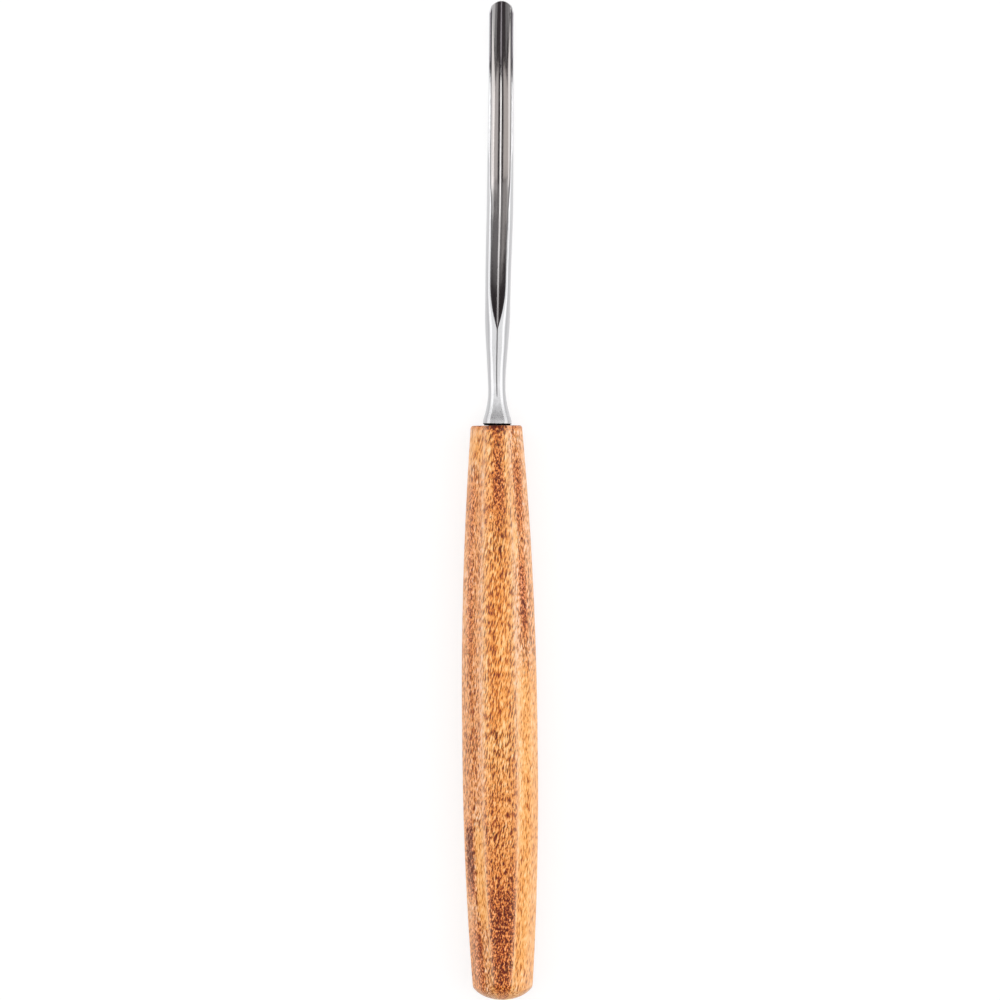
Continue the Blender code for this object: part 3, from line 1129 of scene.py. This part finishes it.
    def section(self, distance: float, half: float, depth: float) -> list[Point]:
        """Lists a whole section, from the middle of the flute round the right side and back.

        Args:
            distance: How far from the seat.
            half: Half its width.
            depth: How far it reaches below the spine.

        Returns:
            Pairs of place across and height.
        """
        top = self.rim(distance)
        wide, flute_depth = self.flute(distance)
        edge = min(self.rim_edge, self.edge_limits[0] * (half - wide), self.edge_limits[1] * wide)
        points = self.flute_points(wide, flute_depth, top, edge)
        inner = wide + edge
        first = half - min(follow(self.top_widths, distance), self.facet_limits[0] * (half - inner))
        second = half - min(follow(self.side_widths, distance), self.facet_limits[1] * (half - first))
        bevel_end = top - (second - first) * self.bevel_slope
        side_end = max(-self.side_share * depth, bevel_end - (half - second) * self.side_slope)
        wall_end = min(0.0, side_end - self.least_wall)
        corners = ((inner, top), (first, top), (second, bevel_end), (half, side_end), (half, wall_end))
        counts = (self.top_cells, self.bevel_cells, self.side_cells, self.wall_cells)
        for start, end, cells in zip(corners, corners[1:], counts):
            shares = [part / cells for part in range(1, cells + 1)]
            points += [(mix(start[0], end[0], share), mix(start[1], end[1], share)) for share in shares]
        reach = 2.0 * math.atan2(depth + wall_end, half)
        radius = half / math.sin(reach)
        for part in range(1, self.belly_cells + 1):
            angle = reach * (1.0 - part / self.belly_cells)
            drop = radius * (math.cos(angle) - math.cos(reach))
            points.append((radius * math.sin(angle), wall_end - drop))
        return points + [(-x, height) for x, height in reversed(points[1:-1])]

    def tang_section(self, width: float) -> list[Point]:
        """Lists a square section of the tang with as many points as the blade's."""
        turns = [QUARTER_TURN - FULL_TURN * step / self.around for step in range(self.around)]
        return [squared(0.5 * width, turn, self.tang_crispness) for turn in turns]

    def rings(self) -> list[Ring]:
        """Lists the blade's sections from the end of the tang to the cutting edge.

        Returns:
            The rings in order.
        """
        base = self.section(0.0, self.half_width(0.0), self.depth(0.0))
        share = 1.0 - self.seat_inset / self.half_width(0.0)
        seat = [(x * share, height * share) for x, height in base]
        rings = [
            Ring(-self.tang_length, self.tang_section(self.tang_end)),
            Ring(-0.5 * self.tang_length, self.tang_section(mix(self.tang_root, self.tang_end, 0.5))),
            Ring(-self.seat_recess, self.tang_section(self.tang_root)),
            Ring(-self.seat_recess, seat),
            Ring(0.0, seat),
            Ring(0.0, base),
            Ring(self.seat_edge, base),
        ]
        heel = self.length - self.bevel_length
        count = round(heel / self.step)
        for part in range(1, count + 1):
            distance = heel * part / count
            lean = self.heel_lean * ease(1.0 - (heel - distance) / self.nose_lean_run)
            section = self.section(distance, self.half_width(distance), self.depth(distance))
            rings.append(Ring(distance, section, lean))
        flute_half, flute_depth = self.flute(self.length)
        edge_half = flute_half + self.edge_thickness
        edge_depth = flute_depth - self.rim(self.length) + self.edge_thickness
        for part in range(1, self.bevel_rings + 1):
            share = part / self.bevel_rings
            distance = mix(heel, self.length, share)
            half = mix(self.half_width(heel), edge_half, share**self.bevel_curve)
            depth = mix(self.depth(heel), edge_depth, share)
            lean = mix(self.heel_lean, self.nose_lean, share)
            rings.append(Ring(distance, self.section(distance, half, depth), lean))
        return rings

    def forge(self, mesh: bmesh.types.BMesh, rings: list[Ring]) -> None:
        """Moves each point of the round blank to its section, and closes the ends.

        Args:
            mesh: The blank, whose places along Y are the rings' numbers.
            rings: The sections.
        """
        names = ("flute", "root", "shoulder", "rim", "flank_shade")
        layers = {name: mesh.verts.layers.float.new(name) for name in names}
        numbers = {}
        for vert in mesh.verts:
            number = round(vert.co.y)
            numbers[vert] = number
            ring = rings[number]
            step = round(math.atan2(vert.co.z, vert.co.x) / FULL_TURN * self.around) % self.around
            across, up = ring.points[step]
            along, height, slope = self.spine(ring.distance)
            tilt = slope + ring.lean
            up /= math.cos(ring.lean)
            aside = follow(self.sway, ring.distance)
            vert.co = (across + aside, along - up * math.sin(tilt), height + up * math.cos(tilt))
            for name, amount in self.places(ring.distance, min(step, self.around - step)).items():
                vert[layers[name]] = amount
        # The first rings get the near-black material: scale on the tang, painted shade of the gap in the
        # recess under the bolster.
        for face in mesh.faces:
            in_scale_and_gap_shade = min(numbers[vert] for vert in face.verts) < self.scale_and_gap_shade_rings
            face.material_index = 1 if in_scale_and_gap_shade else 0
        ends = bmesh.ops.holes_fill(mesh, edges=[edge for edge in mesh.edges if edge.is_boundary], sides=0)
        bmesh.ops.triangulate(mesh, faces=ends["faces"])
        place = Matrix.Translation(self.seat) @ Matrix.Rotation(-self.seat_lean, 4, "Z")
        bmesh.ops.transform(mesh, matrix=place, verts=mesh.verts[:])

    def places(self, distance: float, from_middle: int) -> dict[str, float]:
        """Says which of the steel's places a point belongs to.

        Args:
            distance: How far from the seat.
            from_middle: The point's number, counted from the middle of the flute.

        Returns:
            How much the point belongs to each place that it is on, from 0 to 1.
        """
        amounts = {"shoulder": ease(1.0 - distance / self.shoulder_length)}
        past = distance - self.flute_start
        fluting = ease(past / self.rim_fall)
        if from_middle < self.flute_cells and past > 0.0:
            amounts["flute"] = 1.0
            amounts["root"] = ease(1.0 - past / self.root_length)
        if self.rim_start <= from_middle <= self.rim_start + self.top_cells:
            amounts["rim"] = fluting
        down = from_middle - self.flank_start
        # The side facets below the bevel get the darker tint as painted shade, less where the flute has
        # opened.
        if 0 < down <= self.side_cells:
            amounts["flank_shade"] = (1.0 - (down - 1) / self.side_cells) * (1.0 - self.flank_shade_fall * fluting)
        return amounts

    def build(self, finish: bpy.types.Material, scale: bpy.types.Material) -> None:
        """Builds the blade and puts it in place of its node.

        Args:
            finish: The polished steel.
            scale: The near-black material of the tang, and of the recess under the bolster as painted shade
                of the gap.
        """
        mesh = bmesh.new()
        rings = self.rings()
        turned_blank(mesh, [(1.0, float(number)) for number in range(len(rings))], self.around)
        self.forge(mesh, rings)
        piece = finished_piece(mesh, "steel_blade", [finish, scale], self.sharp_degrees)
        stand_in(piece, self.node)


@dataclass(frozen=True)
class Panel:
    """A soft lamp: a bright panel, unseen by the camera, and by the steel too where it isn't mirrored."""

    name: str
    place: Triple
    size: Point
    brightness: float
    faces: Facing = Facing.ACROSS
    colour: Triple = (1.0, 1.0, 1.0)
    mirrored: bool = True
    tool_height: float = 0.01

    @property
    def away(self) -> Vector:
        """The direction from what the panel faces to the panel."""
        if self.faces is Facing.DOWN:
            return Vector((0.0, 0.0, 1.0))
        if self.faces is Facing.ACROSS:
            return Vector((math.copysign(1.0, self.place[0]), 0.0, 0.0))
        return (Vector(self.place) - Vector((0.0, 0.0, self.tool_height))).normalized()

    def build(self) -> None:
        """Builds the lamp."""
        lamp = bpy.data.lights.new(self.name, "AREA")
        lamp.shape = "RECTANGLE"
        lamp.size, lamp.size_y = self.size
        lamp.energy = self.brightness * math.pi * self.size[0] * self.size[1]
        lamp.color = self.colour
        holder = bpy.data.objects.new(self.name, lamp)
        rise = self.away
        side = ALONG.cross(rise).normalized()
        turn = Matrix((side, rise.cross(side), rise)).transposed()
        holder.matrix_world = Matrix.Translation(self.place) @ turn.to_4x4()
        holder.visible_camera = False
        holder.visible_glossy = self.mirrored
        bpy.context.scene.collection.objects.link(holder)


def both_sides(
    name: str, place: Triple, size: Point, brightness: Point, **settings: object
) -> tuple[Panel, Panel]:
    """Makes a left and a right panel at mirrored places.

    Args:
        name: The end of both names.
        place: The right one's place.
        size: Their size.
        brightness: The left one's and the right one's brightness.
        **settings: More of the panels' fields.

    Returns:
        The left panel and the right one.
    """
    x, y, z = place
    left = Panel("left_" + name, (-x, y, z), size, brightness[0], **settings)
    return left, Panel("right_" + name, place, size, brightness[1], **settings)


@dataclass
class Studio:
    """The white floor, the soft lamps, the dim room and the camera straight above."""

    floor_half: float = 4.0
    floor_gap: float = 0.0002
    room: Colour = (0.050, 0.043, 0.046, 1.0)
    white: Colour = (1.0, 1.0, 1.0, 1.0)
    view_width: float = 0.28035
    camera_height: float = 4.0
    camera_middle: Point = (0.00078, 0.06812)
    camera_roll: float = -0.0113
    sensor: float = 36.0
    view_end: float = 20.0
    panels: tuple[Panel, ...] = (
        Panel("key_panel", (0.0, 0.07, 1.2), (1.6, 1.6), 1.5, Facing.DOWN, mirrored=False),
        *both_sides("wall", (0.9, 0.0, 0.35), (0.5, 1.2), (1.2, 1.6), faces=Facing.TOOL, mirrored=False),
        Panel("overhead_panel", (0.0, 0.015, 1.0), (0.16, 0.75), 1.55, Facing.DOWN),
        Panel("forward_panel", (0.0, 0.74, 1.0), (0.18, 0.70), 1.05, Facing.DOWN),
        Panel("back_panel", (0.0, -0.82, 1.0), (0.16, 0.66), 0.46, Facing.DOWN, (0.97, 0.92, 1.0)),
        Panel("front_fill", (0.0, 0.43, 1.0), (2.0, 0.32), 0.13, Facing.DOWN),
        *both_sides("strip", (0.85, 0.43, 0.08), (0.16, 0.92), (1.45, 1.45)),
        *both_sides("front_glow", (0.85, 0.37, 0.48), (0.56, 0.28), (0.24, 0.28)),
        *both_sides("rim_glow", (0.84, 0.27, 0.66), (0.48, 0.16), (0.10, 0.30)),
        Panel("left_glow", (-0.85, 0.02, 0.31), (0.42, 0.52), 1.0, colour=(1.0, 0.97, 0.95)),
        Panel("right_glow", (0.85, -0.01, 0.39), (0.58, 0.58), 1.0, colour=(1.0, 0.97, 0.95)),
        *both_sides("back_glow", (0.85, -0.53, 0.22), (0.44, 0.46), (0.22, 0.55)),
        *both_sides("back_low", (0.85, -0.50, 0.05), (0.10, 0.50), (1.20, 0.80)),
        *both_sides("back_dim", (0.85, -0.85, 0.60), (0.70, 0.80), (0.16, 0.19)),
        Panel("left_fill", (-0.80, -0.06, 0.8), (1.0, 0.54), 0.50, Facing.DOWN, (1.0, 0.93, 0.88)),
        Panel("right_fill", (0.80, -0.06, 0.8), (1.0, 0.54), 0.50, Facing.DOWN, (1.0, 0.95, 0.92)),
        Panel("left_front_fill", (-0.80, 0.35, 0.8), (1.0, 0.28), 0.16, Facing.DOWN, (1.0, 0.93, 0.88)),
        Panel("right_front_fill", (0.80, 0.26, 0.8), (1.0, 0.10), 0.26, Facing.DOWN, (1.0, 0.95, 0.92)),
    )

    def build(self) -> None:
        """Builds the whole studio."""
        self.lay_floor()
        self.light_room()
        for panel in self.panels:
            panel.build()
        self.set_camera()
        LOG.info("the studio has %d lamps", len(self.panels))

    def lay_floor(self) -> None:
        """Lays the white floor just under the tool."""
        mesh = bmesh.new()
        bmesh.ops.create_grid(mesh, x_segments=1, y_segments=1, size=self.floor_half)
        bmesh.ops.translate(mesh, verts=mesh.verts[:], vec=(0.0, 0.0, CAD_BOX[0].z - self.floor_gap))
        data = bpy.data.meshes.new("floor")
        mesh.to_mesh(data)
        mesh.free()
        data.materials.append(PaleFloor().material())
        floor = bpy.data.objects.new("floor", data)
        bpy.context.scene.collection.objects.link(floor)

    def light_room(self) -> None:
        """Makes the room dim, and white where the camera looks past the floor."""
        shader = Shader(bpy.data.worlds.new("room"))
        seen = shader.add("LightPath").outputs["Is Camera Ray"]
        dim, white = (shader.add("Background", colour).outputs[0] for colour in (self.room, self.white))
        either = shader.add("MixShader", seen, dim, white).outputs[0]
        bpy.context.scene.world = shader.shown(either, "OutputWorld")

    def set_camera(self) -> None:
        """Hangs the camera over the tool, looking straight down, rolled as the photograph is."""
        lens = bpy.data.cameras.new("camera")
        lens.sensor_width = self.sensor
        lens.lens = self.sensor * self.camera_height / self.view_width
        lens.clip_end = self.view_end
        camera = bpy.data.objects.new("camera", lens)
        height = 0.5 * (CAD_BOX[0].z + CAD_BOX[1].z) + self.camera_height
        camera.location = (*self.camera_middle, height)
        camera.rotation_euler = (0.0, 0.0, self.camera_roll)
        bpy.context.scene.collection.objects.link(camera)
        bpy.context.scene.camera = camera
        bpy.context.scene.view_settings.view_transform = "Standard"


def main() -> None:
    """Builds the handle, the blade and the studio, in that order."""
    logging.basicConfig(level=logging.INFO, format="%(message)s")
    Handle().build(LacqueredBeech().material())
    Blade().build(PolishedSteel().material(), ScaleAndGapShade().material())
    Studio().build()


if __name__ == "__main__":
    main()
